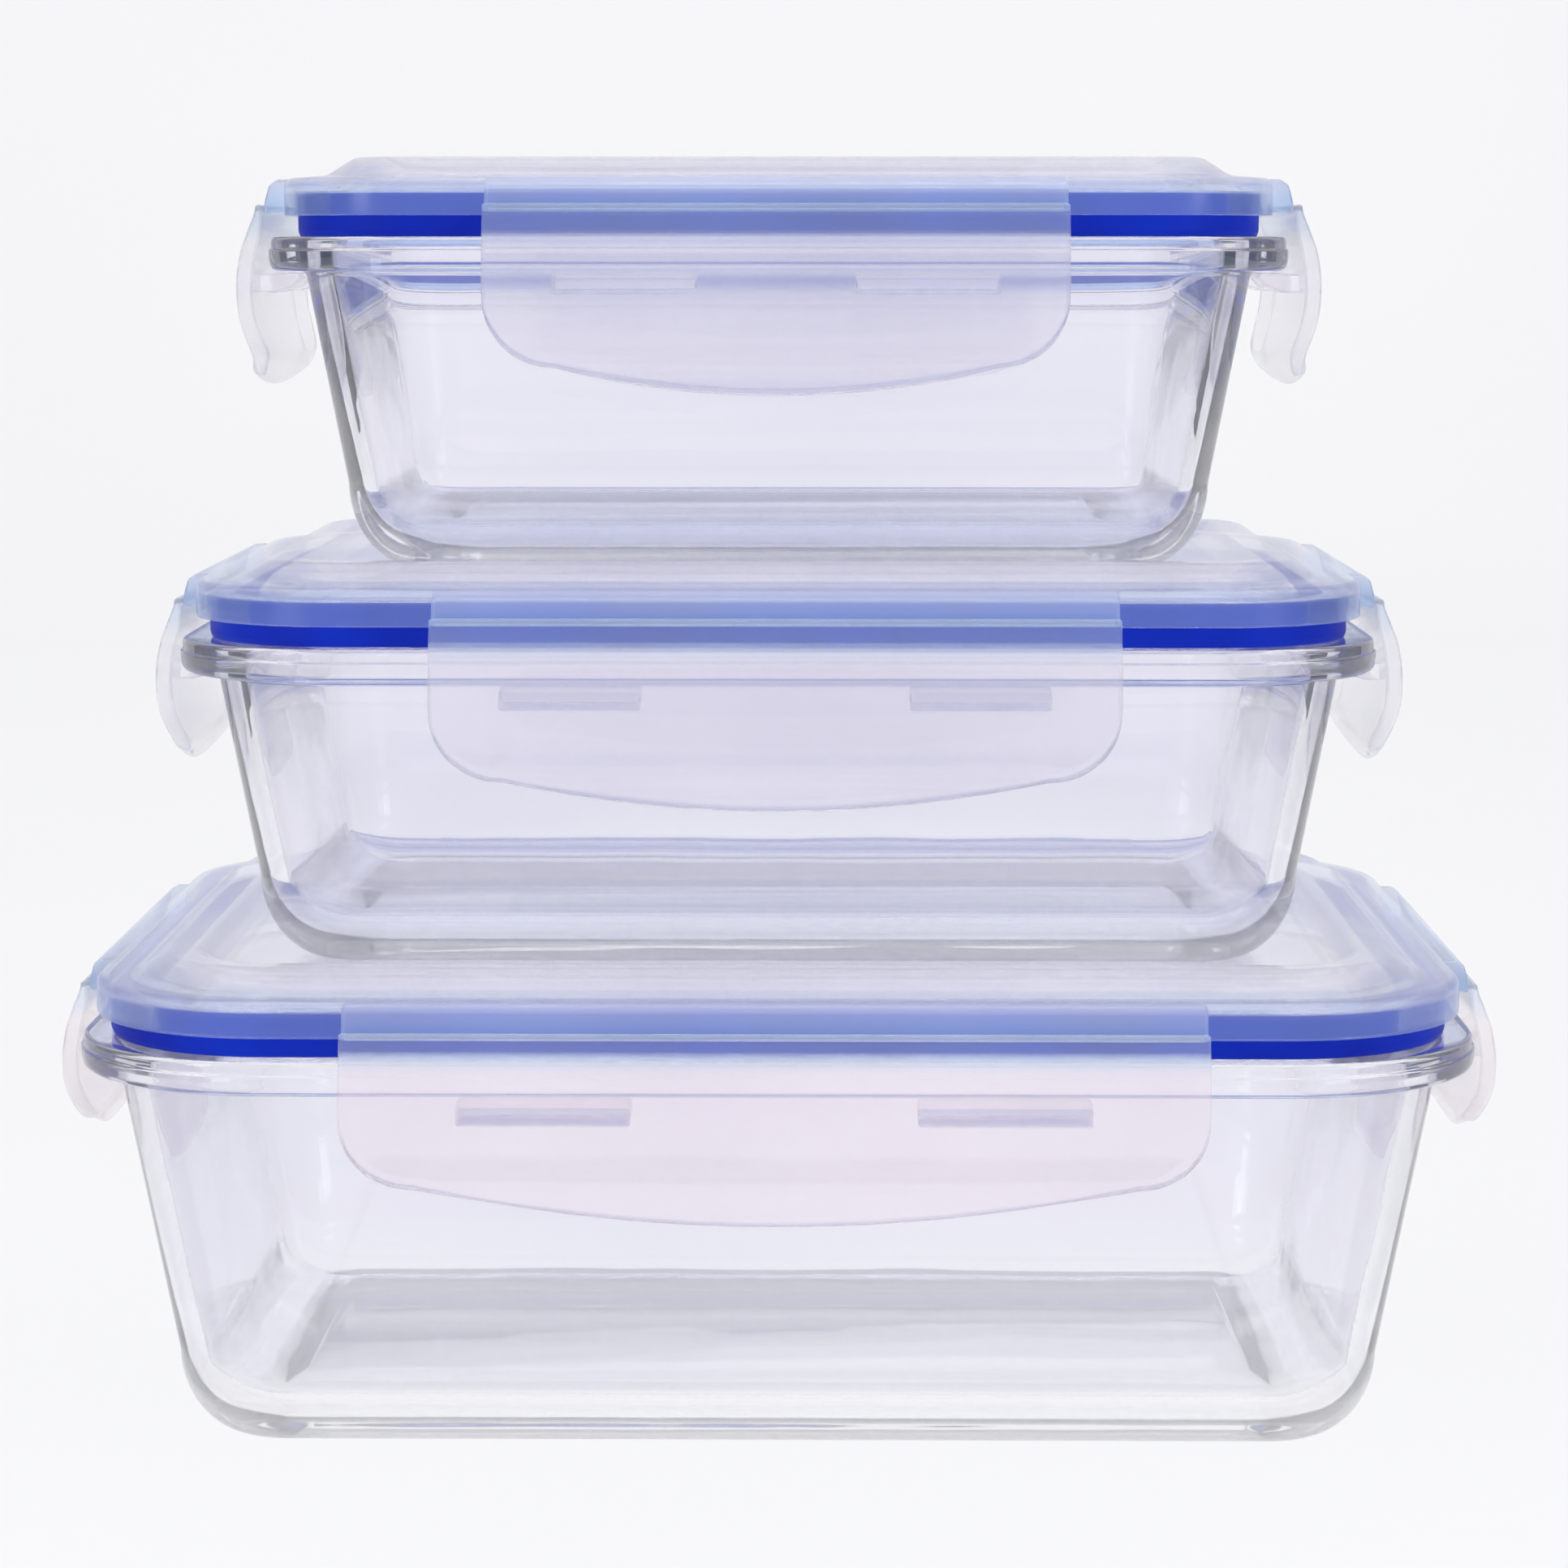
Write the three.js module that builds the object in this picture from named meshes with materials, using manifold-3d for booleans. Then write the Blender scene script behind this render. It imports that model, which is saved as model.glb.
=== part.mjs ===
// Set of three stacked glass food containers, each with a snap-lock lid.
// Units are millimetres, +Z is up, the stack stands on z = 0.
import * as THREE from "three";
import { mergeVertices } from "three/addons/utils/BufferGeometryUtils.js";
import Module from "manifold-3d";

const kernel = await Module();
kernel.setup();

// ---- driving dimensions ------------------------------------------------
// a, b: half length and half width of the glass rim; r: rim corner radius
// h: glass height; front, side: half widths of the long and short latches
const SIZES = [
  { name: "large", a: 102.5, b: 76.0, r: 30.0, h: 60.8, front: 61.0, side: 37.0,
    bowFront: 5.0, bowSide: 4.5, tabFront: [32.4, 24.5], tabSide: [19.0, 16.0] },
  { name: "medium", a: 88.0, b: 65.0, r: 26.0, h: 48.0, front: 48.8, side: 33.0,
    bowFront: 3.9, bowSide: 3.2, tabFront: [29.0, 20.0], tabSide: [17.0, 14.0] },
  { name: "small", a: 75.0, b: 55.0, r: 22.0, h: 48.8, front: 41.6, side: 33.0,
    bowFront: 3.8, bowSide: 1.6, tabFront: [21.5, 20.5], tabSide: [17.0, 14.0] },
];
const SEGMENTS = 6;          // facets in each rounded corner
const RIM_OVER = 5.5;        // rim stands out past the wall
const RIM_TALL = 5.0;        // rim flange height
const WALL = 3.6;            // glass wall under the rim
const FLOOR = 5.0;           // glass floor thickness
const DRAFT = 0.19;          // wall slope, run over rise
const HEEL = 16.0;           // outside radius between wall and base
const FOOT = 0.7;            // hollow under the base, inside the foot ring
const SEAT = 3.0;            // lid skirt hangs this far above the rim top
const LID_IN = 2.5;          // lid edge set back from the rim edge
const LID_EDGE = 5.4;        // height of the lid edge
const LID_TOP = 8.5;         // height of the raised border of the lid
const LID_WELL = 6.2;        // height of the recessed centre of the lid
const LID_SKIN = 2.0;        // lid plate thickness
const GAP = 0.3;             // working gap between pieces
const STACK_GAP = 0.1;       // gap under a stacked container
const HINGE_OUT = 2.1;       // hinge line outside the rim edge
const HINGE_UP = 1.1;        // hinge line above the lid skirt
const DROP = 25.4;           // latch length below the lid skirt
const TAB_REACH = 3.4;       // locking tab reaches this far under the rim
const TAB_TALL = 3.0;

// ---- materials ---------------------------------------------------------
const glass = () => new THREE.MeshStandardMaterial({
  name: "glass", color: 0xe8ecf6, roughness: 0.05, metalness: 0.0 });
const frosted = () => new THREE.MeshStandardMaterial({
  name: "polypropylene", color: 0xdedeec, roughness: 0.5, metalness: 0.0 });
const silicone = () => new THREE.MeshStandardMaterial({
  name: "silicone", color: 0x0a28c8, roughness: 0.45, metalness: 0.0 });

// ---- geometry helpers --------------------------------------------------
// Points round a rounded rectangle, seen from above, anticlockwise.
function outline(halfX, halfY, radius, z) {
  const points = [];
  for (let corner = 0; corner < 4; corner += 1) {
    const sx = corner === 0 || corner === 3 ? 1 : -1;
    const sy = corner < 2 ? 1 : -1;
    for (let step = 0; step <= SEGMENTS; step += 1) {
      const angle = (corner + step / SEGMENTS) * Math.PI / 2;
      const x = sx * (halfX - radius) + radius * Math.cos(angle);
      const y = sy * (halfY - radius) + radius * Math.sin(angle);
      points.push([x, y, z]);
    }
  }
  return points;
}

function indexed(positions, triangles) {
  const geometry = new THREE.BufferGeometry();
  geometry.setAttribute("position", new THREE.Float32BufferAttribute(positions.flat(), 3));
  geometry.setIndex(triangles.flat());
  return geometry;
}

// Skin a run of equal loops. Closed runs make a ring, open runs are capped.
function skin(loops, closed) {
  const count = loops[0].length;
  const positions = loops.flat();
  const triangles = [];
  const spans = closed ? loops.length : loops.length - 1;
  for (let i = 0; i < spans; i += 1) {
    const low = i * count;
    const high = ((i + 1) % loops.length) * count;
    for (let j = 0; j < count; j += 1) {
      const k = (j + 1) % count;
      triangles.push([low + j, low + k, high + k]);
      triangles.push([low + j, high + k, high + j]);
    }
  }
  if (!closed) {
    const last = (loops.length - 1) * count;
    const first = positions.length;
    positions.push([0, 0, loops[0][0][2]]);
    positions.push([0, 0, loops[loops.length - 1][0][2]]);
    for (let j = 0; j < count; j += 1) {
      const k = (j + 1) % count;
      triangles.push([first, k, j]);
      triangles.push([first + 1, last + j, last + k]);
    }
  }
  return indexed(positions, triangles);
}

// Prism of a flat profile. place(u, v, w) turns profile and depth into space.
function prism(contour, from, to, place) {
  let shape = contour.map(([u, v]) => new THREE.Vector2(u, v));
  if (THREE.ShapeUtils.area(shape) < 0) {
    shape = shape.reverse();
  }
  const profile = shape.map((point) => [point.x, point.y]);
  const faces = THREE.ShapeUtils.triangulateShape(shape, []);
  const positions = [];
  for (const depth of [from, to]) {
    for (const [u, v] of profile) {
      positions.push(place(u, v, depth));
    }
  }
  const n = profile.length;
  const triangles = [];
  for (const [p, q, s] of faces) {
    triangles.push([p, s, q]);
    triangles.push([n + p, n + q, n + s]);
  }
  for (let i = 0; i < n; i += 1) {
    const k = (i + 1) % n;
    triangles.push([i, k, n + k]);
    triangles.push([i, n + k, n + i]);
  }
  return indexed(positions, triangles);
}

function toSolid(geometry) {
  const merged = mergeVertices(geometry, 1e-5);
  const build = (flip) => {
    const source = merged.index.array;
    const triVerts = Uint32Array.from(source);
    if (flip) {
      for (let i = 0; i < triVerts.length; i += 3) {
        triVerts[i] = source[i + 1];
        triVerts[i + 1] = source[i];
      }
    }
    const mesh = new kernel.Mesh({
      numProp: 3,
      vertProperties: Float32Array.from(merged.attributes.position.array),
      triVerts,
    });
    return new kernel.Manifold(mesh);
  };
  const solid = build(false);
  return solid.volume() > 0 ? solid : build(true);
}

function toGeometry(solid) {
  const mesh = solid.getMesh();
  const geometry = new THREE.BufferGeometry();
  const position = new THREE.Float32BufferAttribute(mesh.vertProperties, 3);
  geometry.setAttribute("position", position);
  geometry.setIndex(Array.from(mesh.triVerts));
  return geometry;
}

// ---- glass bowl --------------------------------------------------------
function bowl(size, base) {
  const top = size.h;
  const under = top - RIM_TALL;
  const ring = (inset, z) => outline(
    size.a - inset, size.b - inset, Math.max(size.r - inset, 4), base + z);
  const wallAt = (z) => RIM_OVER + (under - z) * DRAFT;
  const loops = [];
  const heelTop = HEEL * 0.8;
  const heelIn = wallAt(heelTop);
  const footIn = heelIn + HEEL * 0.66;
  const soft = 4.5;
  loops.push(ring(footIn + soft + 1.5, FOOT));
  loops.push(ring(footIn + soft, 0));
  loops.push(ring(footIn, 0));
  for (const angle of [18, 36, 54, 72]) {
    const t = angle * Math.PI / 180;
    const inset = footIn - (footIn - heelIn) * Math.sin(t);
    loops.push(ring(inset, heelTop * (1 - Math.cos(t))));
  }
  loops.push(ring(heelIn, heelTop));
  loops.push(ring(RIM_OVER + 0.5, under - 1.6));
  loops.push(ring(RIM_OVER - 1.2, under));
  loops.push(ring(1.6, under));
  loops.push(ring(0.4, under + 0.7));
  loops.push(ring(0, under + 1.9));
  loops.push(ring(0, top - 1.9));
  loops.push(ring(0.5, top - 0.6));
  loops.push(ring(1.8, top));
  loops.push(ring(RIM_OVER + WALL - 1.2, top));
  loops.push(ring(RIM_OVER + WALL, top - 1.2));
  const innerTop = heelTop + 1.0;
  const innerIn = wallAt(innerTop) + WALL + 0.4;
  const floorIn = footIn + WALL - 1.0;
  loops.push(ring(innerIn, innerTop));
  for (const angle of [67, 45, 22]) {
    const t = angle * Math.PI / 180;
    const inset = floorIn - (floorIn - innerIn) * Math.sin(t);
    loops.push(ring(inset, FLOOR + (innerTop - FLOOR) * (1 - Math.cos(t))));
  }
  loops.push(ring(floorIn, FLOOR));
  return skin(loops, false);
}

// ---- silicone seal -----------------------------------------------------
function seal(size, skirt) {
  const ring = (inset, z) => {
    const d = LID_IN + inset;
    return outline(size.a - d, size.b - d, size.r - d, skirt + z);
  };
  const low = -SEAT + 0.05;
  return skin([
    ring(2.2, low),
    ring(2.0, low + 0.8),
    ring(2.0, -0.4),
    ring(2.1, 3.2),
    ring(5.1, 3.2),
    ring(5.2, -0.4),
    ring(5.0, low),
  ].reverse(), true);
}

// ---- lid ---------------------------------------------------------------
function lidPlate(size, skirt) {
  const ring = (inset, z) => {
    const d = LID_IN + inset;
    return outline(size.a - d, size.b - d, Math.max(size.r - d, 5), skirt + z);
  };
  const under = LID_WELL - LID_SKIN;
  return skin([
    ring(19.5, under),
    ring(16.0, LID_TOP - LID_SKIN),
    ring(11.5, LID_TOP - LID_SKIN - 0.2),
    ring(9.2, 3.6),
    ring(8.8, -4.0),
    ring(8.2, -4.6),
    ring(7.2, -4.6),
    ring(7.1, -1.6),
    ring(5.6, -1.6),
    ring(5.5, 3.5),
    ring(1.7, 3.5),
    ring(1.6, 0.2),
    ring(1.2, 0),
    ring(0.2, 0),
    ring(0, 0.3),
    ring(0, LID_EDGE - 1.4),
    ring(0.4, LID_EDGE - 0.4),
    ring(1.4, LID_EDGE),
    ring(5.2, LID_EDGE + 0.4),
    ring(7.4, LID_EDGE + 1.5),
    ring(10.2, LID_TOP),
    ring(14.6, LID_TOP),
    ring(18.8, LID_WELL),
    ring(23.0, LID_WELL),
  ], false);
}

// A latch side is a frame: out points away from the lid, along runs left.
const SIDES = {
  front: { out: [0, -1], along: [1, 0], long: true },
  back: { out: [0, 1], along: [-1, 0], long: true },
  left: { out: [-1, 0], along: [0, -1], long: false },
  right: { out: [1, 0], along: [0, 1], long: false },
};

function placer(size, skirt, side) {
  const reach = side.long ? size.b : size.a;
  return (outward, up, along) => {
    const d = reach + outward;
    const x = side.out[0] * d + side.along[0] * along;
    const y = side.out[1] * d + side.along[1] * along;
    return [x, y, skirt + up];
  };
}

// Short flange that carries the hinge line of one latch.
function hingeFlange(size, skirt, side) {
  const half = (side.long ? size.front : size.side) - 0.2;
  const profile = [
    [-LID_IN - 1.4, 1.0],
    [HINGE_OUT - 1.6, HINGE_UP - 0.9],
    [HINGE_OUT - 1.3, HINGE_UP],
    [HINGE_OUT - 1.5, HINGE_UP + 1.2],
    [0.1, LID_EDGE - 1.2],
    [-0.7, LID_EDGE - 0.25],
    [-2.0, LID_EDGE],
    [-LID_IN - 1.4, LID_EDGE],
  ];
  return prism(profile, -half, half, placer(size, skirt, side));
}

function lid(size, skirt) {
  let solid = toSolid(lidPlate(size, skirt));
  for (const side of Object.values(SIDES)) {
    solid = solid.add(toSolid(hingeFlange(size, skirt, side)));
  }
  return toGeometry(solid);
}

// ---- latch -------------------------------------------------------------
function latch(size, skirt, side) {
  const half = side.long ? size.front : size.side;
  const bow = side.long ? size.bowFront : size.bowSide;
  const tab = side.long ? size.tabFront : size.tabSide;
  const place = placer(size, skirt, side);
  const ear = HINGE_UP;
  const out = HINGE_OUT;
  const section = [
    [out - 0.9, ear - 0.6], [out - 0.5, ear + 0.5], [out + 0.2, ear + 0.7],
    [out + 0.8, ear + 0.1],
    [3.3, -2.0], [4.4, -5.2], [4.95, -8.4], [5.05, -11.4], [4.75, -14.4],
    [3.9, -17.6], [3.15, -20.2], [3.3, -21.8], [3.85, -23.2], [4.5, -24.6],
    [4.7, -DROP - 0.1], [2.9, -DROP - 0.1], [1.9, -23.9], [1.15, -22.3],
    [0.85, -20.6],
    [1.5, -17.6], [2.35, -14.4], [2.6, -11.2], [2.5, -8.4], [2.0, -5.2],
    [1.3, -2.0],
  ];
  const plate = toSolid(prism(section, -half, half, place));
  const corner = 10.0;
  const face = [];
  const edge = DROP - bow;
  const sweep = [0, 22.5, 45, 67.5, 90];
  const steps = 8;
  face.push([half, 3], [half, -edge + corner]);
  for (const angle of sweep.slice(1, 4)) {
    const t = angle * Math.PI / 180;
    face.push([half - corner + corner * Math.cos(t), -edge + corner - corner * Math.sin(t)]);
  }
  for (let i = 0; i <= steps; i += 1) {
    const s = (half - corner) * (1 - 2 * i / steps);
    const u = s / (half - corner);
    face.push([s, -DROP + bow * u * u]);
  }
  for (const angle of sweep.slice(1, 4).reverse()) {
    const t = angle * Math.PI / 180;
    face.push([-half + corner - corner * Math.cos(t), -edge + corner - corner * Math.sin(t)]);
  }
  face.push([-half, -edge + corner], [-half, 3]);
  const mask = toSolid(prism(face, -1, 7, (u, v, w) => place(w, v, u)));
  let solid = plate.intersect(mask);
  const ledge = -SEAT - RIM_TALL - GAP;
  const hook = [
    [3.2, ledge - 0.6], [1.2, ledge - 0.2], [0.4, ledge], [-TAB_REACH + 0.6, ledge],
    [-TAB_REACH, ledge - 0.7], [-TAB_REACH + 1.2, ledge - 2.2],
    [0.8, ledge - TAB_TALL], [3.2, ledge - TAB_TALL],
  ];
  for (const sign of [-1, 1]) {
    const from = sign * tab[0] - tab[1] / 2;
    const piece = prism(hook, from, from + tab[1], place);
    solid = solid.add(toSolid(piece));
  }
  return toGeometry(solid);
}

// ---- assembly ----------------------------------------------------------
function piece(group, name, geometry, material) {
  const mesh = new THREE.Mesh(geometry, material);
  mesh.name = name;
  group.add(mesh);
}

const container = new THREE.Group();
container.name = "glass_container_set";
let base = 0;
for (const size of SIZES) {
  const skirt = base + size.h + SEAT;
  const bowlSolid = toSolid(bowl(size, base));
  const sealSolid = toSolid(seal(size, skirt));
  piece(container, `${size.name}_glass`, toGeometry(bowlSolid), glass());
  piece(container, `${size.name}_gasket`, toGeometry(sealSolid), silicone());
  piece(container, `${size.name}_lid`, lid(size, skirt), frosted());
  for (const [key, side] of Object.entries(SIDES)) {
    piece(container, `${size.name}_latch_${key}`, latch(size, skirt, side), frosted());
  }
  base = skirt + LID_WELL + STACK_GAP;
}

export default container;
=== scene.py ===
import bmesh
import bpy
import math
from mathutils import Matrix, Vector


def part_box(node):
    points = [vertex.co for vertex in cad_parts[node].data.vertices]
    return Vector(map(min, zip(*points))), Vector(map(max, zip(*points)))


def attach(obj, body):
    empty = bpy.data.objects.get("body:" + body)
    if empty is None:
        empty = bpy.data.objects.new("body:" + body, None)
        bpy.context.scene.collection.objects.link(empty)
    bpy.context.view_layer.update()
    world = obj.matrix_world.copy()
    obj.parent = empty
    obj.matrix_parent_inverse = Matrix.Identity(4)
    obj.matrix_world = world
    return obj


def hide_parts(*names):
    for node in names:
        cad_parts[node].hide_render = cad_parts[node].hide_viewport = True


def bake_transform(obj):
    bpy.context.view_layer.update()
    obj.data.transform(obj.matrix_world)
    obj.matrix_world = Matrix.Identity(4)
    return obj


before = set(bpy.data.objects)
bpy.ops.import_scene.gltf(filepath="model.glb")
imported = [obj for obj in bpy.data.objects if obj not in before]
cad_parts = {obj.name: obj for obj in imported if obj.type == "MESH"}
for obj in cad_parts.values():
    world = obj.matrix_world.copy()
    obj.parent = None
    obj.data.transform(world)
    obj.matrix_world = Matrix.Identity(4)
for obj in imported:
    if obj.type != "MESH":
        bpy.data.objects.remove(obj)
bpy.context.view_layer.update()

# ---- sizes, in millimetres ---------------------------------------------
MM = 0.001

# r: the corner radius of the rim. The rest are pairs, for the long and the short sides:
# bows, how far a latch's lower edge bows down; tabs, the middle and width of its two hooks.
# measure_all adds what the frame says.
SIZES = {
    "large": dict(r=30.0, bows=(5.0, 4.5), tabs=((32.4, 24.5), (19.0, 16.0))),
    "medium": dict(r=26.0, bows=(3.9, 3.2), tabs=((29.0, 20.0), (17.0, 14.0))),
    "small": dict(r=22.0, bows=(3.8, 1.6), tabs=((21.5, 20.5), (17.0, 14.0))),
}
# The way out of each side, and the way along it.
SIDES = {"front": ((0, -1), (1, 0)), "back": ((0, 1), (-1, 0)),
         "left": ((-1, 0), (0, -1)), "right": ((1, 0), (0, 1))}
SHORT_SIDES = ("left", "right")

# The bowl, the seal's seat on its rim, and the lid.
RIM_OVER, RIM_TALL, WALL, BOTTOM = 5.5, 5.0, 3.6, 5.0
DRAFT, HEEL_UP, HEEL_IN, FOOT, SEAT = 0.19, 12.8, 10.56, 0.7, 3.0
LID_IN, LID_EDGE, LID_TOP, LID_WELL, LID_SKIN = 2.5, 5.4, 8.5, 6.2, 2.0
CORNER_LEAST = 3.2      # no loop turns a corner tighter than this
CORNER_STEPS = 20       # faces around a corner of a bowl, seal or lid
HEEL_STEPS = 15         # faces up the curve between foot and wall
BASE_TALL, HEEL_TALL = 2.6, 7.0     # the glass is clearer below each of these heights

# The latches: their gaps, their hinge, how far they hang, their ends and their hooks.
GAP, HINGE_OUT, HINGE_UP, DROP = 0.3, 2.1, 1.1, 25.4
LATCH_CORNER, LATCH_EDGE, LATCH_PINCH = 10.0, 0.5, 0.35
FLAT_STEPS, ARC_STEPS = 24, 16
TAB_REACH, TAB_TALL = 3.4, 3.0
TIP, TIP_STEPS, TIP_SQUARE = 0.9, 8, 0.86       # the tip's length, faces and blunt corners
CROWN, CROWN_STEPS = 0.9, 6                     # the crown's height over half its width
WEB_HALF_THICK = 0.28


def measure(node):
    """The lowest corner and the size of a CAD node."""
    low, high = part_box(node)
    return ([round(v / MM, 2) for v in low],
            [round((h - v) / MM, 2) for v, h in zip(low, high)])


def measure_all():
    """base and skirt: where a bowl and its lid's skirt start. a, b and h: half the rim's length
    and depth, and the bowl's height. halves: half the length of a long and a short latch."""
    for key, size in SIZES.items():
        lowest, (length, depth, height) = measure(f"{key}_glass")
        front_length = measure(f"{key}_latch_front")[1][0]
        side_length = measure(f"{key}_latch_left")[1][1]
        size.update(a=length / 2, b=depth / 2, h=height, base=lowest[2],
                    skirt=lowest[2] + height + SEAT,
                    halves=(front_length / 2, side_length / 2))


measure_all()


# ---- materials ---------------------------------------------------------
def node_material(name, color, roughness, **settings):
    """settings: the shader's other inputs, with _ for each space in a name."""
    mat = bpy.data.materials.new(name)
    mat.use_nodes = True
    bsdf = mat.node_tree.nodes["Principled BSDF"]
    bsdf.inputs["Base Color"].default_value = (*color, 1.0)
    bsdf.inputs["Roughness"].default_value = roughness
    for key, value in settings.items():
        bsdf.inputs[key.replace("_", " ")].default_value = value
    return mat, mat.node_tree.nodes, mat.node_tree.links, bsdf


def add_noise(nodes, links, scale, detail, stretch=(1, 1, 1)):
    tex = nodes.new("ShaderNodeTexCoord")
    mapping = nodes.new("ShaderNodeMapping")
    mapping.inputs["Scale"].default_value = stretch
    noise = nodes.new("ShaderNodeTexNoise")
    noise.inputs["Scale"].default_value = scale
    noise.inputs["Detail"].default_value = detail
    links.new(tex.outputs["Object"], mapping.inputs["Vector"])
    links.new(mapping.outputs["Vector"], noise.inputs["Vector"])
    return noise.outputs["Fac"]


def add_ramp(nodes, links, source, low, high, start=0.3, end=0.7):
    ramp = nodes.new("ShaderNodeValToRGB")
    ramp.color_ramp.elements[0].position = start
    ramp.color_ramp.elements[1].position = end
    ramp.color_ramp.elements[0].color = (*low, 1)
    ramp.color_ramp.elements[1].color = (*high, 1)
    links.new(source, ramp.inputs["Fac"])
    return ramp.outputs["Color"]


def add_height_ramp(nodes, links, stops):
    """A colour that changes with height; stops: (height, colour) twice, 0 the bottom, 1 the top."""
    (start, low), (end, high) = stops
    place = nodes.new("ShaderNodeTexCoord")
    split = nodes.new("ShaderNodeSeparateXYZ")
    links.new(place.outputs["Generated"], split.inputs["Vector"])
    return add_ramp(nodes, links, split.outputs["Z"], low, high, start, end)


def multiply(nodes, links, one, other):
    mix = nodes.new("ShaderNodeMix")
    mix.data_type = "RGBA"
    mix.blend_type = "MULTIPLY"
    factor, color_a, color_b = mix.inputs[0], mix.inputs[6], mix.inputs[7]
    factor.default_value = 1.0
    links.new(one, color_a)
    links.new(other, color_b)
    return mix.outputs[2]


def add_bump(nodes, links, bsdf, source, strength, distance):
    bump = nodes.new("ShaderNodeBump")
    bump.inputs["Strength"].default_value = strength
    bump.inputs["Distance"].default_value = distance
    links.new(source, bump.inputs["Height"])
    links.new(bump.outputs["Normal"], bsdf.inputs["Normal"])


WHITE = (1.0, 1.0, 1.0)
# The glass's faint tint above the base. Below it is painted light: the base is painted white to
# lift the shade where light crosses its floor.
GLASS_TINT_AND_PAINTED_LIGHT = ((0.08, WHITE), (0.24, (0.945, 0.94, 0.985)))


def make_glass(name, alpha):
    """Pressed glass: a slow wave in the surface, a faint tint above the base, and painted light:
    the base is painted whiter to lift its shade.
    """
    mat, nodes, links, bsdf = node_material(
        name, (0.90, 0.90, 0.94), 0.0, Transmission_Weight=1.0, IOR=1.46, Alpha=alpha)
    wave = add_noise(nodes, links, 26.0, 1.5, stretch=(1, 1, 2.2))
    add_bump(nodes, links, bsdf, wave, 0.14, 0.0014)
    cloud = add_noise(nodes, links, 12.0, 1.0)
    tint = add_ramp(nodes, links, cloud, (0.965, 0.965, 0.98), WHITE)
    shade = add_height_ramp(nodes, links, GLASS_TINT_AND_PAINTED_LIGHT)
    links.new(multiply(nodes, links, tint, shade), bsdf.inputs["Base Color"])
    return mat


def make_plastic(name, low, high, transmission, alpha, painted_seal_blue):
    """Frosted plastic, with painted light: the seal's blue as seen through the plastic, painted in
    by height.
    """
    mat, nodes, links, bsdf = node_material(
        name, high, 0.2, Transmission_Weight=transmission, IOR=1.35, Alpha=alpha)
    cloud = add_noise(nodes, links, 34.0, 3.0)
    tint = add_ramp(nodes, links, cloud, low, high)
    # Painted light: the seal's blue as seen through the plastic, by height.
    shade = add_height_ramp(nodes, links, painted_seal_blue)
    links.new(multiply(nodes, links, tint, shade), bsdf.inputs["Base Color"])
    grain = add_noise(nodes, links, 1800.0, 2.0)
    rough = nodes.new("ShaderNodeMapRange")
    rough.inputs["To Min"].default_value = 0.12
    rough.inputs["To Max"].default_value = 0.2
    links.new(cloud, rough.inputs["Value"])
    links.new(rough.outputs["Result"], bsdf.inputs["Roughness"])
    add_bump(nodes, links, bsdf, grain, 0.05, 0.0001)
    return mat


def make_silicone():
    mat, nodes, links, bsdf = node_material(
        "blue_silicone", (0.0, 0.014, 0.40), 0.5, Subsurface_Weight=0.06,
        Specular_IOR_Level=0.12, Subsurface_Radius=(0.0006, 0.0012, 0.004))
    cloud = add_noise(nodes, links, 60.0, 2.0)
    tint = add_ramp(nodes, links, cloud, (0.0, 0.012, 0.34), (0.0, 0.022, 0.46))
    links.new(tint, bsdf.inputs["Base Color"])
    grain = add_noise(nodes, links, 900.0, 3.0)
    add_bump(nodes, links, bsdf, grain, 0.08, 0.0001)
    return mat


def make_matte(name, color, noise, low, high, **settings):
    """A dull studio surface; noise: the scale and detail of its faint clouds."""
    mat, nodes, links, bsdf = node_material(name, color, 0.9, **settings)
    cloud = add_noise(nodes, links, *noise)
    links.new(add_ramp(nodes, links, cloud, low, high), bsdf.inputs["Base Color"])
    return mat


GLASS = make_glass("pressed_glass", 0.93)
HEEL_GLASS = make_glass("pressed_glass_heel", 0.88)
BASE_GLASS = make_glass("pressed_glass_base", 0.78)
# Painted light: the seal's blue as seen through the plastic, painted by height, low on the lid and
# its flanges and at the top of the latches.
LID_PAINTED_SEAL_BLUE = ((0.55, (0.50, 0.70, 1.0)), (0.80, WHITE))
FLANGE_PAINTED_SEAL_BLUE = ((0.50, (0.58, 0.77, 1.0)), (0.80, (0.88, 0.92, 1.0)))
LATCH_PAINTED_SEAL_BLUE = ((0.79, WHITE), (0.87, (0.70, 0.86, 1.0)))
LID_PLASTIC = make_plastic(
    "frosted_lid", (0.75, 0.735, 0.84), (0.83, 0.815, 0.90), 0.81, 0.62, LID_PAINTED_SEAL_BLUE)
FLANGE_PLASTIC = make_plastic(
    "frosted_flange", (0.80, 0.79, 0.88), (0.87, 0.86, 0.93), 0.58, 0.84, FLANGE_PAINTED_SEAL_BLUE)
LATCH_PLASTIC = make_plastic(
    "frosted_latch", (0.82, 0.80, 0.87), (0.89, 0.87, 0.925), 0.83, 0.72, LATCH_PAINTED_SEAL_BLUE)
WARM_PLASTIC = make_plastic(
    "frosted_latch_warm", (0.92, 0.85, 0.895), (0.98, 0.91, 0.95), 0.83, 0.72, LATCH_PAINTED_SEAL_BLUE)
SILICONE = make_silicone()


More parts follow.
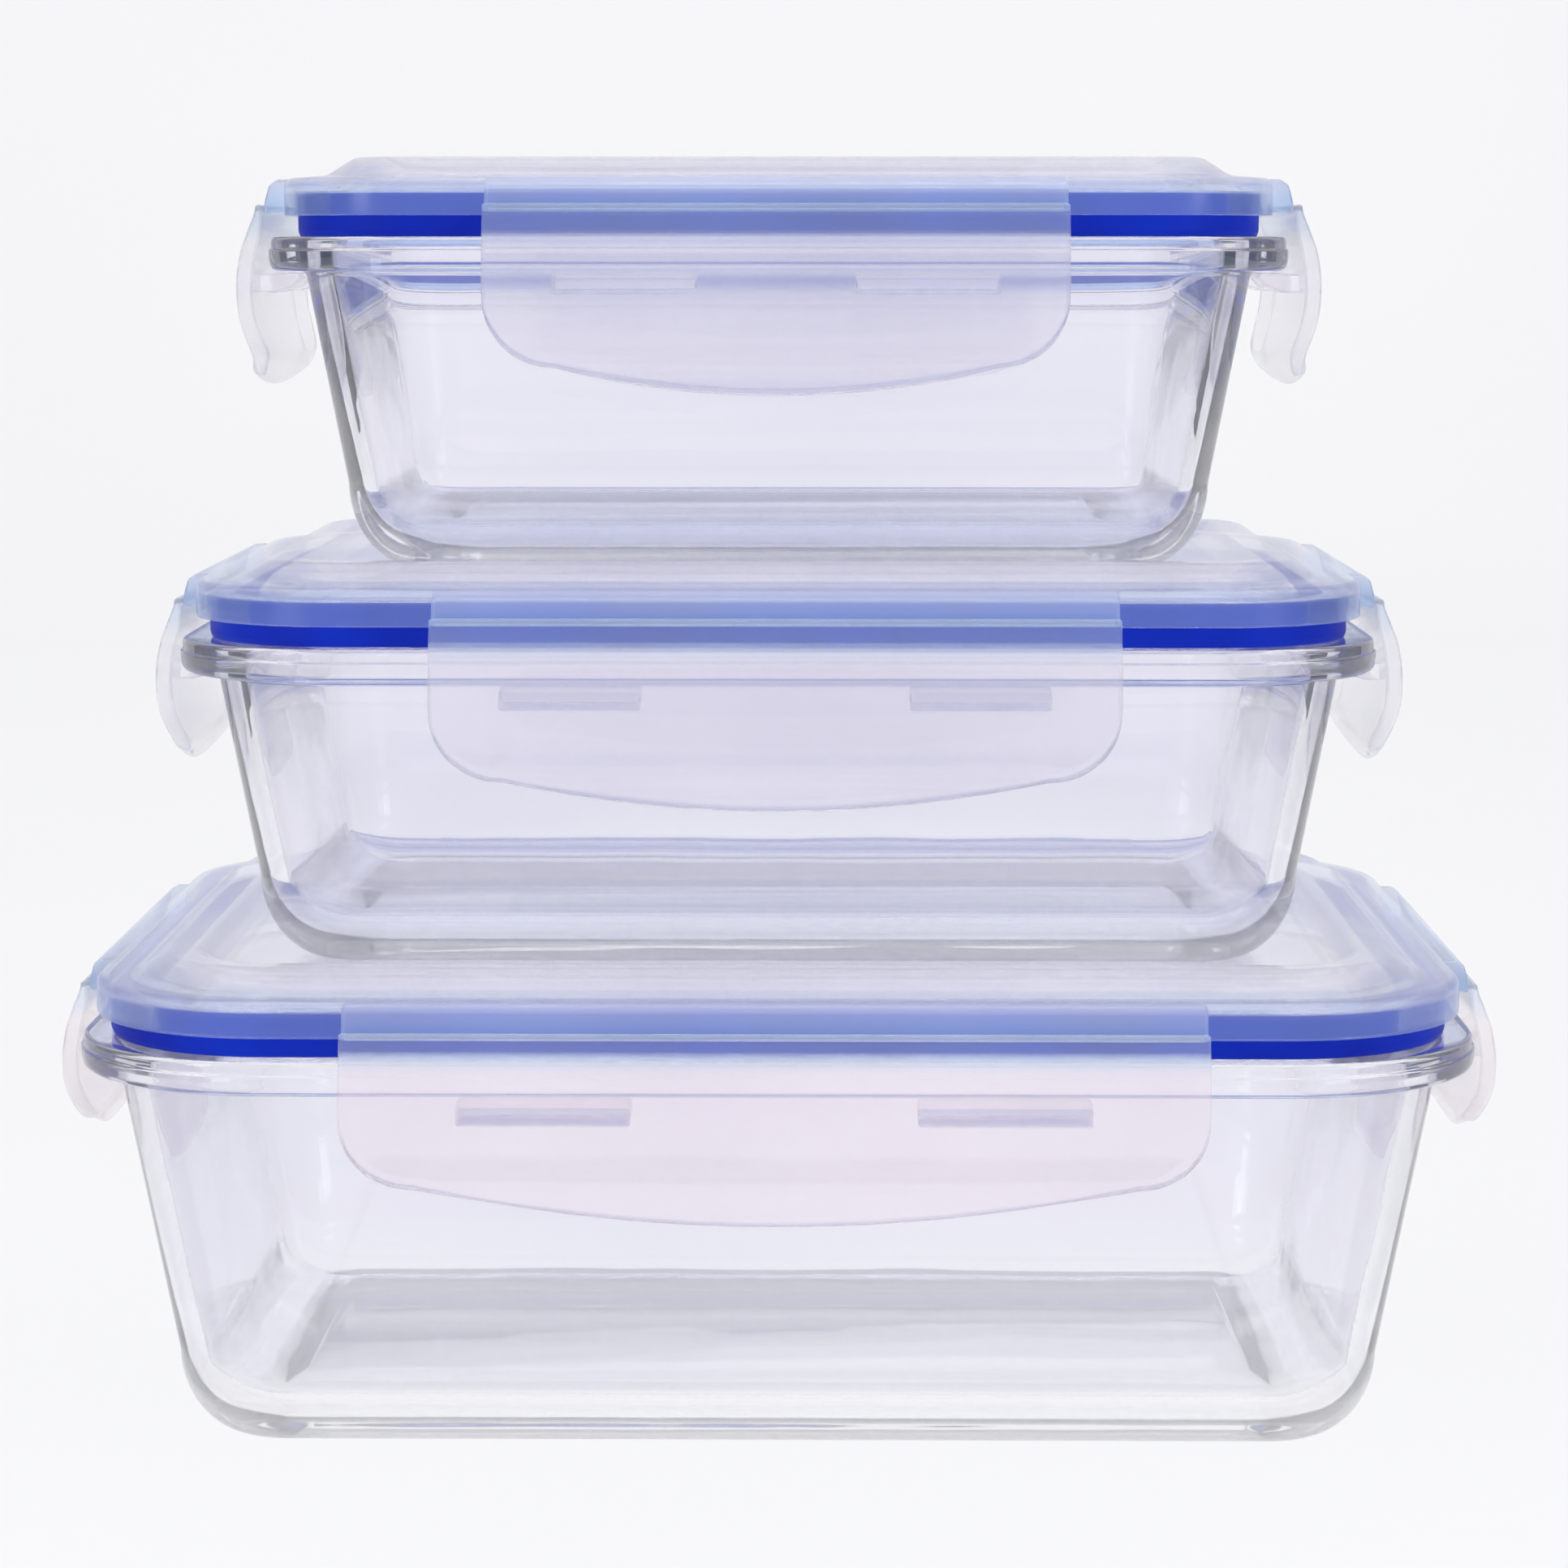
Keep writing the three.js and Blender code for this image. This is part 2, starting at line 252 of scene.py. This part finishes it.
# ---- mesh helpers ------------------------------------------------------
def fillet(points, closed=False, steps=6):
    """Rounds the corners of a line of (x, z, radius) points."""
    straight = 0.03         # radians: a bend smaller than this stays a point
    out = []
    count = len(points)
    for i, (x, z, radius) in enumerate(points):
        here = Vector((x, z))
        if radius <= 0 or (not closed and i in (0, count - 1)):
            out.append(here)
            continue
        before = Vector(points[i - 1][:2]) - here
        after = Vector(points[(i + 1) % count][:2]) - here
        bend = before.angle(after)
        if math.pi - bend < straight:
            out.append(here)
            continue
        reach = radius / math.tan(bend / 2)
        reach = min(reach, before.length * 0.49, after.length * 0.49)
        first = here + before.normalized() * reach
        last = here + after.normalized() * reach
        for k in range(steps + 1):
            t = k / steps
            out.append(first.lerp(here, t).lerp(here.lerp(last, t), t))
    return [(p.x, p.y) for p in out]


def outline(half_x, half_y, radius, z):
    """A rectangle with round corners, as one loop."""
    points = []
    for corner in range(4):
        sx = 1 if corner in (0, 3) else -1
        sy = 1 if corner < 2 else -1
        for step in range(CORNER_STEPS + 1):
            angle = (corner + step / CORNER_STEPS) * math.pi / 2
            points.append((sx * (half_x - radius) + radius * math.cos(angle),
                           sy * (half_y - radius) + radius * math.sin(angle), z))
    return points


def smooth(mesh, sharp):
    mesh.shade_smooth()
    mesh.set_sharp_from_angle(angle=math.radians(sharp))


def make_object(name, verts, faces, material, sharp=40.0):
    """sharp: the angle in degrees above which an edge isn't shaded smooth."""
    mesh = bpy.data.meshes.new(name)
    mesh.from_pydata([Vector(v) * MM for v in verts], [], faces)
    mesh.validate()
    mesh.update()
    obj = bpy.data.objects.new(name, mesh)
    bpy.context.scene.collection.objects.link(obj)
    mesh.materials.append(material)
    smooth(mesh, sharp)
    return obj


def fix_normals(obj):
    bm = bmesh.new()
    bm.from_mesh(obj.data)
    bmesh.ops.recalc_face_normals(bm, faces=bm.faces)
    bm.to_mesh(obj.data)
    bm.free()


def skin(loops, closed=False):
    """Faces between equal loops: a ring when closed, capped flat when not."""
    count = len(loops[0])
    verts = [p for loop in loops for p in loop]
    faces = []
    for i in range(len(loops) if closed else len(loops) - 1):
        low, high = i * count, ((i + 1) % len(loops)) * count
        for j in range(count):
            k = (j + 1) % count
            faces.append((low + j, low + k, high + k, high + j))
    if not closed:
        last = (len(loops) - 1) * count
        faces.append(tuple(reversed(range(count))))
        faces.append(tuple(last + j for j in range(count)))
    return verts, faces


def lofted(name, size, start, profile, closed, material, set_back=LID_IN, sharp=40.0):
    """Sweeps a profile of (inset, height above start) points around a container."""
    loops = []
    for inset, z in profile:
        d = inset + set_back
        radius = max(size["r"] - d, CORNER_LEAST)
        loops.append(outline(size["a"] - d, size["b"] - d, radius, start + z))
    obj = make_object(name, *skin(loops, closed), material, sharp)
    fix_normals(obj)
    return obj


def placer(size, side):
    """Places a point by its distance out from a side, up from the skirt, and along the side."""
    out, along = SIDES[side]
    reach = size["b"] if out[0] == 0 else size["a"]

    def place(outward, up, run):
        d = reach + outward
        return (out[0] * d + along[0] * run, out[1] * d + along[1] * run,
                size["skirt"] + up)
    return place


def of_side(pair, side):
    """The long or the short side's value out of a pair in SIZES."""
    return pair[1 if side in SHORT_SIDES else 0]


def ends(low, high, *pinches):
    """Stations from low to high: (distance from the end, shrink) pairs, the same at both ends."""
    return ([(low + d, shrink) for d, shrink in pinches]
            + [(high - d, shrink) for d, shrink in reversed(pinches)])


def bar(name, contour, stations, place, material):
    """Runs one closed contour through stations: (run, shrink towards the contour's middle)."""
    mid = Vector((sum(p[0] for p in contour), sum(p[1] for p in contour))) / len(contour)
    loops = []
    for run, shrink in stations:
        loop = []
        for point in contour:
            p = Vector(point)
            away = p - mid
            if away.length > 0:
                p = p - away.normalized() * min(shrink, away.length * 0.5)
            loop.append(place(p.x, p.y, run))
        loops.append(loop)
    obj = make_object(name, *skin(loops), material)
    fix_normals(obj)
    return obj


def unite(obj, others):
    """Joins solids that touch into one skin."""
    for other in others:
        mod = obj.modifiers.new("join", "BOOLEAN")
        mod.operation = "UNION"
        mod.solver = "EXACT"
        mod.object = other
    graph = bpy.context.evaluated_depsgraph_get()
    graph.update()
    mesh = bpy.data.meshes.new_from_object(obj.evaluated_get(graph))
    obj.modifiers.clear()
    old = obj.data
    material = old.materials[0]
    obj.data = mesh
    mesh.name = obj.name
    mesh.materials.clear()
    mesh.materials.append(material)
    mesh.polygons.foreach_set("material_index", [0] * len(mesh.polygons))
    smooth(mesh, 38.0)
    bpy.data.meshes.remove(old)
    for other in others:
        data = other.data
        bpy.data.objects.remove(other)
        bpy.data.meshes.remove(data)


# ---- glass bowls -------------------------------------------------------
def heel_curve(foot_in, foot_z, top_in, top_z):
    """A quarter of an ellipse from the foot up to the wall, without its two ends."""
    points = []
    for step in range(1, HEEL_STEPS):
        t = step / HEEL_STEPS * math.pi / 2
        points.append((foot_in - (foot_in - top_in) * math.sin(t),
                       foot_z + (top_z - foot_z) * (1 - math.cos(t))))
    return points


def build_bowl(name, size):
    base = size["base"]
    top = size["h"]
    under = top - RIM_TALL
    inner_top = HEEL_UP + 1.0

    def wall_at(z):
        return RIM_OVER + (under - z) * DRAFT
    heel_in = wall_at(HEEL_UP)
    foot_in = heel_in + HEEL_IN
    inner_in = wall_at(inner_top) + WALL + 0.4
    floor_in = foot_in + WALL - 1.0

    foot = [(foot_in + 6.0, FOOT), (foot_in + 4.8, FOOT * 0.6), (foot_in + 4.0, 0.05),
            (foot_in, 0.0)]
    outer = heel_curve(foot_in, 0.0, heel_in, HEEL_UP) + [(heel_in, HEEL_UP)]
    rim = fillet([
        (heel_in, HEEL_UP, 0), (RIM_OVER + 0.15, under - 0.8, 0),
        (RIM_OVER - 0.3, under + 0.05, 0.8), (0.3, under, 2.2),
        (0.05, under + 3.0, 0.3), (0.45, under + 3.25, 0.25),
        (0.45, top, 1.5), (RIM_OVER + WALL, top, 1.5),
        (RIM_OVER + WALL + 0.3, top - 4.0, 4.0), (inner_in, inner_top, 0)], steps=8)
    inner = list(reversed(heel_curve(floor_in, BOTTOM, inner_in, inner_top)))
    floor = [(floor_in, BOTTOM), (floor_in + 4.0, BOTTOM)]
    obj = lofted(name, size, base, foot + outer + rim[1:] + inner + floor, False, GLASS,
                 set_back=0.0, sharp=50.0)

    obj.data.materials.append(HEEL_GLASS)
    obj.data.materials.append(BASE_GLASS)
    for face in obj.data.polygons:
        height = face.center.z / MM - base
        inside_floor = height < BOTTOM + 0.2 and abs(face.normal.z) > 0.95
        if height < BASE_TALL or inside_floor:
            face.material_index = 2
        elif height < HEEL_TALL:
            face.material_index = 1
    return obj


# ---- seals -------------------------------------------------------------
def build_seal(name, size):
    low = -SEAT - 0.06
    profile = fillet([
        (5.2, -0.3, 0.6), (5.15, 3.2, 0.5), (2.05, 3.2, 0.5), (2.0, -0.2, 0.4),
        (2.0, low + 0.9, 0.5), (2.3, low, 0.4), (4.9, low, 0.5)], closed=True, steps=5)
    return lofted(name, size, size["skirt"], profile, True, SILICONE)


# ---- lids --------------------------------------------------------------
def build_lid(name, size):
    well_under, roof_under = LID_WELL - LID_SKIN, LID_TOP - LID_SKIN
    profile = fillet([
        (24.0, well_under, 0), (19.5, well_under, 2.5), (16.0, roof_under, 2.5),
        (11.5, roof_under - 0.2, 2.0), (9.2, 3.6, 1.0), (8.8, -4.6, 0.4), (7.2, -4.6, 0.4),
        (7.1, -1.6, 0.2), (5.6, -1.6, 0.2), (5.5, 3.5, 0.2), (1.7, 3.5, 0.2),
        (1.6, 0.0, 0.3), (0.0, 0.0, 0.35), (0.0, LID_EDGE, 1.5),
        (6.2, LID_EDGE + 0.45, 3.5), (10.4, LID_TOP, 3.2), (14.8, LID_TOP, 2.4),
        (18.6, LID_WELL, 2.4), (24.0, LID_WELL, 0)], steps=7)
    return lofted(name, size, size["skirt"], profile, False, LID_PLASTIC)


def flange_contour():
    """The tab that a latch hangs from. Its root is in the skirt, clear of the seal's channel."""
    skirt_root, roof_root = -LID_IN - 1.0, -LID_IN - 2.2
    return fillet([
        (skirt_root, 0.9, 0), (HINGE_OUT - 1.6, HINGE_UP - 0.75, 0.2),
        (HINGE_OUT - 1.28, HINGE_UP, 0.2), (HINGE_OUT - 1.5, HINGE_UP + 1.3, 0.6),
        (0.0, LID_EDGE - 0.9, 1.2), (-1.2, LID_EDGE - 0.02, 1.2),
        (roof_root, LID_EDGE + 0.02, 0), (roof_root, 4.3, 0), (skirt_root, 3.9, 0)], steps=5)


def build_flange(name, size, side):
    half = of_side(size["halves"], side) - 0.2
    stations = ends(-half, half, (0.0, 0.5), (0.3, 0.12), (0.7, 0.0))
    return bar(name, flange_contour(), stations, placer(size, side), LID_PLASTIC)


# ---- latches -----------------------------------------------------------
# The centre line of a latch from its crown to its lip, (out, up, thickness), which spine_at
# runs a smooth curve through. A section keeps at least the first DENSE_LEAST points of it.
SPINE = [(1.6, 1.3, 0.9), (1.68, 0.1, 1.25), (2.25, -2.2, 1.9), (3.15, -5.2, 2.3),
         (3.7, -8.4, 2.4), (3.82, -11.3, 2.4), (3.55, -14.4, 2.35), (2.75, -17.6, 2.3),
         (2.05, -20.2, 2.3), (2.25, -21.8, 2.3), (2.85, -23.2, 2.2), (3.55, -24.6, 2.0),
         (3.9, -25.6, 1.9)]
DENSE_STEPS, DENSE_LEAST = 400, 30


def spine_at(t):
    """A point on the centre line's curve and its thickness; t runs 0 to 1."""
    f = t * (len(SPINE) - 1)
    i = min(int(f), len(SPINE) - 2)
    u = f - i
    p = [SPINE[max(0, min(len(SPINE) - 1, i + k))] for k in (-1, 0, 1, 2)]
    return tuple(0.5 * ((2 * p[1][c]) + (p[2][c] - p[0][c]) * u
                        + (2 * p[0][c] - 5 * p[1][c] + 4 * p[2][c] - p[3][c]) * u * u
                        + (3 * p[1][c] - p[0][c] - 3 * p[2][c] + p[3][c]) * u ** 3)
                 for c in range(3))


DENSE = [spine_at(k / DENSE_STEPS) for k in range(DENSE_STEPS + 1)]


def across(k, back, ahead, squeeze):
    """At point k of the centre line: its place, direction, normal and half thickness."""
    start, end = DENSE[max(k - back, 0)], DENSE[min(k + ahead, DENSE_STEPS)]
    way = Vector((end[0] - start[0], end[1] - start[1])).normalized()
    x, z, thick = DENSE[k]
    return Vector((x, z)), way, Vector((-way.y, way.x)), thick / 2 - squeeze


def latch_section(limit, squeeze, steps=34):
    """Closed cross-section of a latch, cut off at height limit, with a rounded tip."""
    last = max(k for k, p in enumerate(DENSE) if p[1] >= limit + TIP or k < DENSE_LEAST)
    left, right = [], []
    for s in range(steps + 1):
        here, _, normal, half = across(round(last * s / steps), 2, 2, squeeze)
        left.append(here + normal * half)
        right.append(here - normal * half)

    here, way, normal, half = across(last, 3, 0, squeeze)
    tip = []
    for s in range(1, TIP_STEPS):
        angle = s / TIP_STEPS * math.pi
        square = 1.0 if abs(math.cos(angle)) < 0.72 else TIP_SQUARE
        tip.append(here + normal * math.cos(angle) * half
                   + way * math.sin(angle) ** 0.6 * TIP * square)

    x, z, thick = DENSE[0]
    half = thick / 2 - min(squeeze, 0.2)
    crown = []
    for s in range(1, CROWN_STEPS):
        angle = s / CROWN_STEPS * math.pi
        crown.append(Vector((x, z)) + Vector((1, 0)) * -math.cos(angle) * half
                     + Vector((0, 1)) * math.sin(angle) * half * CROWN)
    if (crown[0] - right[0]).length > (crown[-1] - right[0]).length:
        crown.reverse()
    return left + tip + list(reversed(right)) + crown


def build_latch_plate(name, size, side, plastic):
    """The plate: its lower edge bows down in the middle and is round at both ends."""
    half = of_side(size["halves"], side)
    bow = of_side(size["bows"], side)
    place = placer(size, side)
    flat = half - LATCH_CORNER

    def floor_at(run):
        w = abs(run)
        if w <= flat:
            return -DROP + bow * (w / flat) ** 2
        d = min(w - flat, LATCH_CORNER)
        return -(DROP - bow) + LATCH_CORNER - math.sqrt(max(LATCH_CORNER ** 2 - d ** 2, 0.0))
    straight = [-flat + 2 * flat * k / FLAT_STEPS for k in range(FLAT_STEPS + 1)]
    arc = [flat + LATCH_CORNER * math.sin(k / ARC_STEPS * math.pi / 2)
           for k in range(1, ARC_STEPS + 1)]
    loops = []
    for run in [-r for r in reversed(arc)] + straight + arc:
        near = half - abs(run)
        squeeze = 0.0
        if near <= LATCH_EDGE:
            squeeze = LATCH_PINCH * (1 - near / LATCH_EDGE) ** 1.5
        section = latch_section(floor_at(run), squeeze)
        loops.append([place(p.x, p.y, run) for p in section])
    obj = make_object(name, *skin(loops), plastic)
    fix_normals(obj)
    return obj


def build_hooks(name, size, side, plastic):
    """The two hooks on the plate's inside, which hold under the bowl's rim."""
    middle, width = of_side(size["tabs"], side)
    ledge = -SEAT - RIM_TALL - GAP
    contour = fillet([
        (3.3, ledge - 0.5, 0), (1.2, ledge - 0.2, 0.6), (0.3, ledge, 0.3),
        (-TAB_REACH + 0.4, ledge, 0.4), (-TAB_REACH, ledge - 0.8, 0.4),
        (-TAB_REACH + 1.2, ledge - 2.2, 0.6), (0.8, ledge - TAB_TALL, 0.6),
        (3.3, ledge - TAB_TALL + 0.1, 0)], steps=5)
    hooks = []
    for sign, tag in ((-1, "a"), (1, "b")):
        low, high = sign * middle - width / 2, sign * middle + width / 2
        stations = ends(low, high, (0.0, 0.45), (0.25, 0.12), (0.6, 0.0))
        hooks.append(bar(f"{name}_hook_{tag}", contour, stations,
                         placer(size, side), plastic))
    return hooks


def build_latch(name, size, side, plastic):
    latch = build_latch_plate(name, size, side, plastic)
    unite(latch, build_hooks(name, size, side, plastic))
    return latch


# ---- living hinges -----------------------------------------------------
def build_web(name, size, side):
    """The thin web from lid to latch, and two points across its middle, between which the real
    hinge bends.
    """
    half = of_side(size["halves"], side) - 0.9
    path = [(HINGE_OUT - 1.75, HINGE_UP + 0.1), (HINGE_OUT - 1.1, HINGE_UP + 0.16),
            (HINGE_OUT - 0.6, HINGE_UP + 0.12), (HINGE_OUT - 0.1, HINGE_UP - 0.1)]
    upper = [(x, z + WEB_HALF_THICK) for x, z in path]
    lower = [(x, z - WEB_HALF_THICK) for x, z in reversed(path)]
    stations = ends(-half, half, (0.0, 0.12), (0.3, 0.0))
    place = placer(size, side)
    web = bar(name, upper + lower, stations, place, LATCH_PLASTIC)
    start = Vector(place(HINGE_OUT - 1.2, HINGE_UP, 0)) * MM
    end = Vector(place(HINGE_OUT - 0.3, HINGE_UP, 0)) * MM
    return web, start, end


# ---- assembly ----------------------------------------------------------
def assign_rigid(piece, body, node):
    """piece stands for the CAD's node and moves with a body.

    Shadow and diffuse rays pass it by, so that the stack stays as light as clear parts are.
    """
    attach(piece, body)
    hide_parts(node)
    piece.visible_diffuse = False
    piece.visible_shadow = False


def assemble(key, size):
    """One container: its bowl, seal, lid, four latches and their living hinges."""
    bowl = build_bowl(f"{key}_bowl_look", size)
    assign_rigid(bowl, f"{key}_glass", f"{key}_glass")
    seal = build_seal(f"{key}_seal_look", size)
    assign_rigid(seal, f"{key}_lid", f"{key}_gasket")

    lid = build_lid(f"{key}_lid_look", size)
    unite(lid, [build_flange(f"{key}_flange_{side}", size, side) for side in SIDES])
    lid.data.materials.append(FLANGE_PLASTIC)
    # The faces outside the skirt are those of the flanges.
    skirt_x, skirt_y = size["a"] - LID_IN + 0.02, size["b"] - LID_IN + 0.02
    for face in lid.data.polygons:
        if abs(face.center.x) / MM > skirt_x or abs(face.center.y) / MM > skirt_y:
            face.material_index = 1
    assign_rigid(lid, f"{key}_lid", f"{key}_lid")

    plastic = WARM_PLASTIC if key == "large" else LATCH_PLASTIC
    for side in SIDES:
        node = f"{key}_latch_{side}"
        latch = build_latch(f"{node}_look", size, side, plastic)
        assign_rigid(latch, node, node)
        web, start, end = build_web(f"{node}_living_hinge", size, side)
        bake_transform(web)
        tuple(start)
        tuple(end)


for key, size in SIZES.items():
    assemble(key, size)


# ---- floor, lights and camera, in metres --------------------------------
FLOOR_NEAR, FLOOR_SIDE, FLOOR_DROP = -9.0, 9.0, 0.00005
SWEEP_START, SWEEP, SWEEP_STEPS, BACKDROP = 1.2, 0.8, 16, 4.0
CARD_OUT, CARD_NEAR, CARD_FAR, CARD_TALL = 1.25, -0.8, 0.9, 1.0
METRE = 1000.0          # in millimetres, which make_object takes

# Each area light: its place, what it faces, width, height and watts.
LIGHTS = {
    "top_box": ((0.0, -0.1, 1.5), (0, 0, 0), 1.6, 1.6, 4.5),
    "left_box": ((-1.0, -1.0, 0.6), (0, 0, 0.09), 0.35, 1.0, 4.0),
    "right_box": ((1.05, -0.9, 0.65), (0, 0, 0.09), 0.35, 1.0, 3.6),
    "back_wash": ((0.0, 0.9, 1.7), (0, 2.2, 0.3), 2.4, 0.6, 6.2),
}
SKY_STRENGTH, SKY_COLOR = 0.82, (0.935, 0.935, 0.955, 1.0)
CAMERA_FAR, CAMERA_SIDE, CAMERA_UP = 0.650, 0.0005, 0.1740
CAMERA_TURN, CAMERA_DOWN = 0.65, 7.29       # degrees that it stands to the right, and looks down
LENS, SENSOR = 95.5, 36.0


def build_floor():
    """A floor that sweeps up into a backdrop."""
    path = [(FLOOR_NEAR, 0.0), (SWEEP_START, 0.0)]
    for step in range(1, SWEEP_STEPS + 1):
        t = step / SWEEP_STEPS * math.pi / 2
        path.append((SWEEP_START + SWEEP * math.sin(t), SWEEP * (1 - math.cos(t))))
    path.append((SWEEP_START + SWEEP, BACKDROP))
    verts, faces = [], []
    for y, z in path:
        for x in (-FLOOR_SIDE, FLOOR_SIDE):
            verts.append((x * METRE, y * METRE, (z - FLOOR_DROP) * METRE))
    for i in range(len(path) - 1):
        faces.append((2 * i, 2 * i + 1, 2 * i + 3, 2 * i + 2))
    mat = make_matte("pale_floor", (0.93, 0.93, 0.93), (3.0, 2.0),
                     (0.875, 0.875, 0.88), (0.885, 0.885, 0.89), Specular_IOR_Level=0.05)
    floor = make_object("studio_floor", verts, faces, mat, 60.0)


def build_card(name, x):
    """A dark card beside the object, which only mirrors and glass see."""
    corners = ((CARD_NEAR, 0.0), (CARD_FAR, 0.0), (CARD_FAR, CARD_TALL), (CARD_NEAR, CARD_TALL))
    verts = [(x * METRE, y * METRE, z * METRE) for y, z in corners]
    mat = make_matte("card_grey", (0.05, 0.06, 0.065), (2.0, 1.0),
                     (0.03, 0.04, 0.045), (0.10, 0.12, 0.125))
    card = make_object(name, verts, [(0, 1, 2, 3)], mat)
    card.visible_camera = False
    card.visible_diffuse = False
    card.visible_shadow = False


def build_light(name, place, target, width, height, power):
    data = bpy.data.lights.new(name, "AREA")
    data.shape = "RECTANGLE"
    data.size = width
    data.size_y = height
    data.energy = power
    light = bpy.data.objects.new(name, data)
    light.location = place
    way = Vector(target) - Vector(place)
    light.rotation_euler = way.to_track_quat("-Z", "Y").to_euler()
    bpy.context.scene.collection.objects.link(light)
    return light


build_floor()
build_card("left_card", -CARD_OUT)
build_card("right_card", CARD_OUT)
lights = {name: build_light(name, *row) for name, row in LIGHTS.items()}
# The wash is aimed at the backdrop, and doesn't show in the object.
lights["back_wash"].visible_camera = False
lights["back_wash"].visible_glossy = False
lights["back_wash"].visible_transmission = False

world = bpy.data.worlds.new("studio_world")
bpy.context.scene.world = world
world.use_nodes = True
sky = world.node_tree.nodes["Background"]
sky.inputs["Strength"].default_value = SKY_STRENGTH
sky.inputs["Color"].default_value = SKY_COLOR

view = bpy.context.scene.view_settings
view.view_transform = "Standard"
view.look = "None"
view.exposure = 0.0

camera_data = bpy.data.cameras.new("camera")
camera_data.sensor_width = SENSOR
camera_data.lens = LENS
camera_data.clip_start = 0.05
camera_data.clip_end = 30.0
camera = bpy.data.objects.new("camera", camera_data)
turn = math.radians(CAMERA_TURN)
camera.location = (CAMERA_FAR * math.sin(turn) + CAMERA_SIDE, -CAMERA_FAR * math.cos(turn),
                   CAMERA_UP)
camera.rotation_euler = (math.radians(90 - CAMERA_DOWN), 0.0, turn)
bpy.context.scene.collection.objects.link(camera)
bpy.context.scene.camera = camera
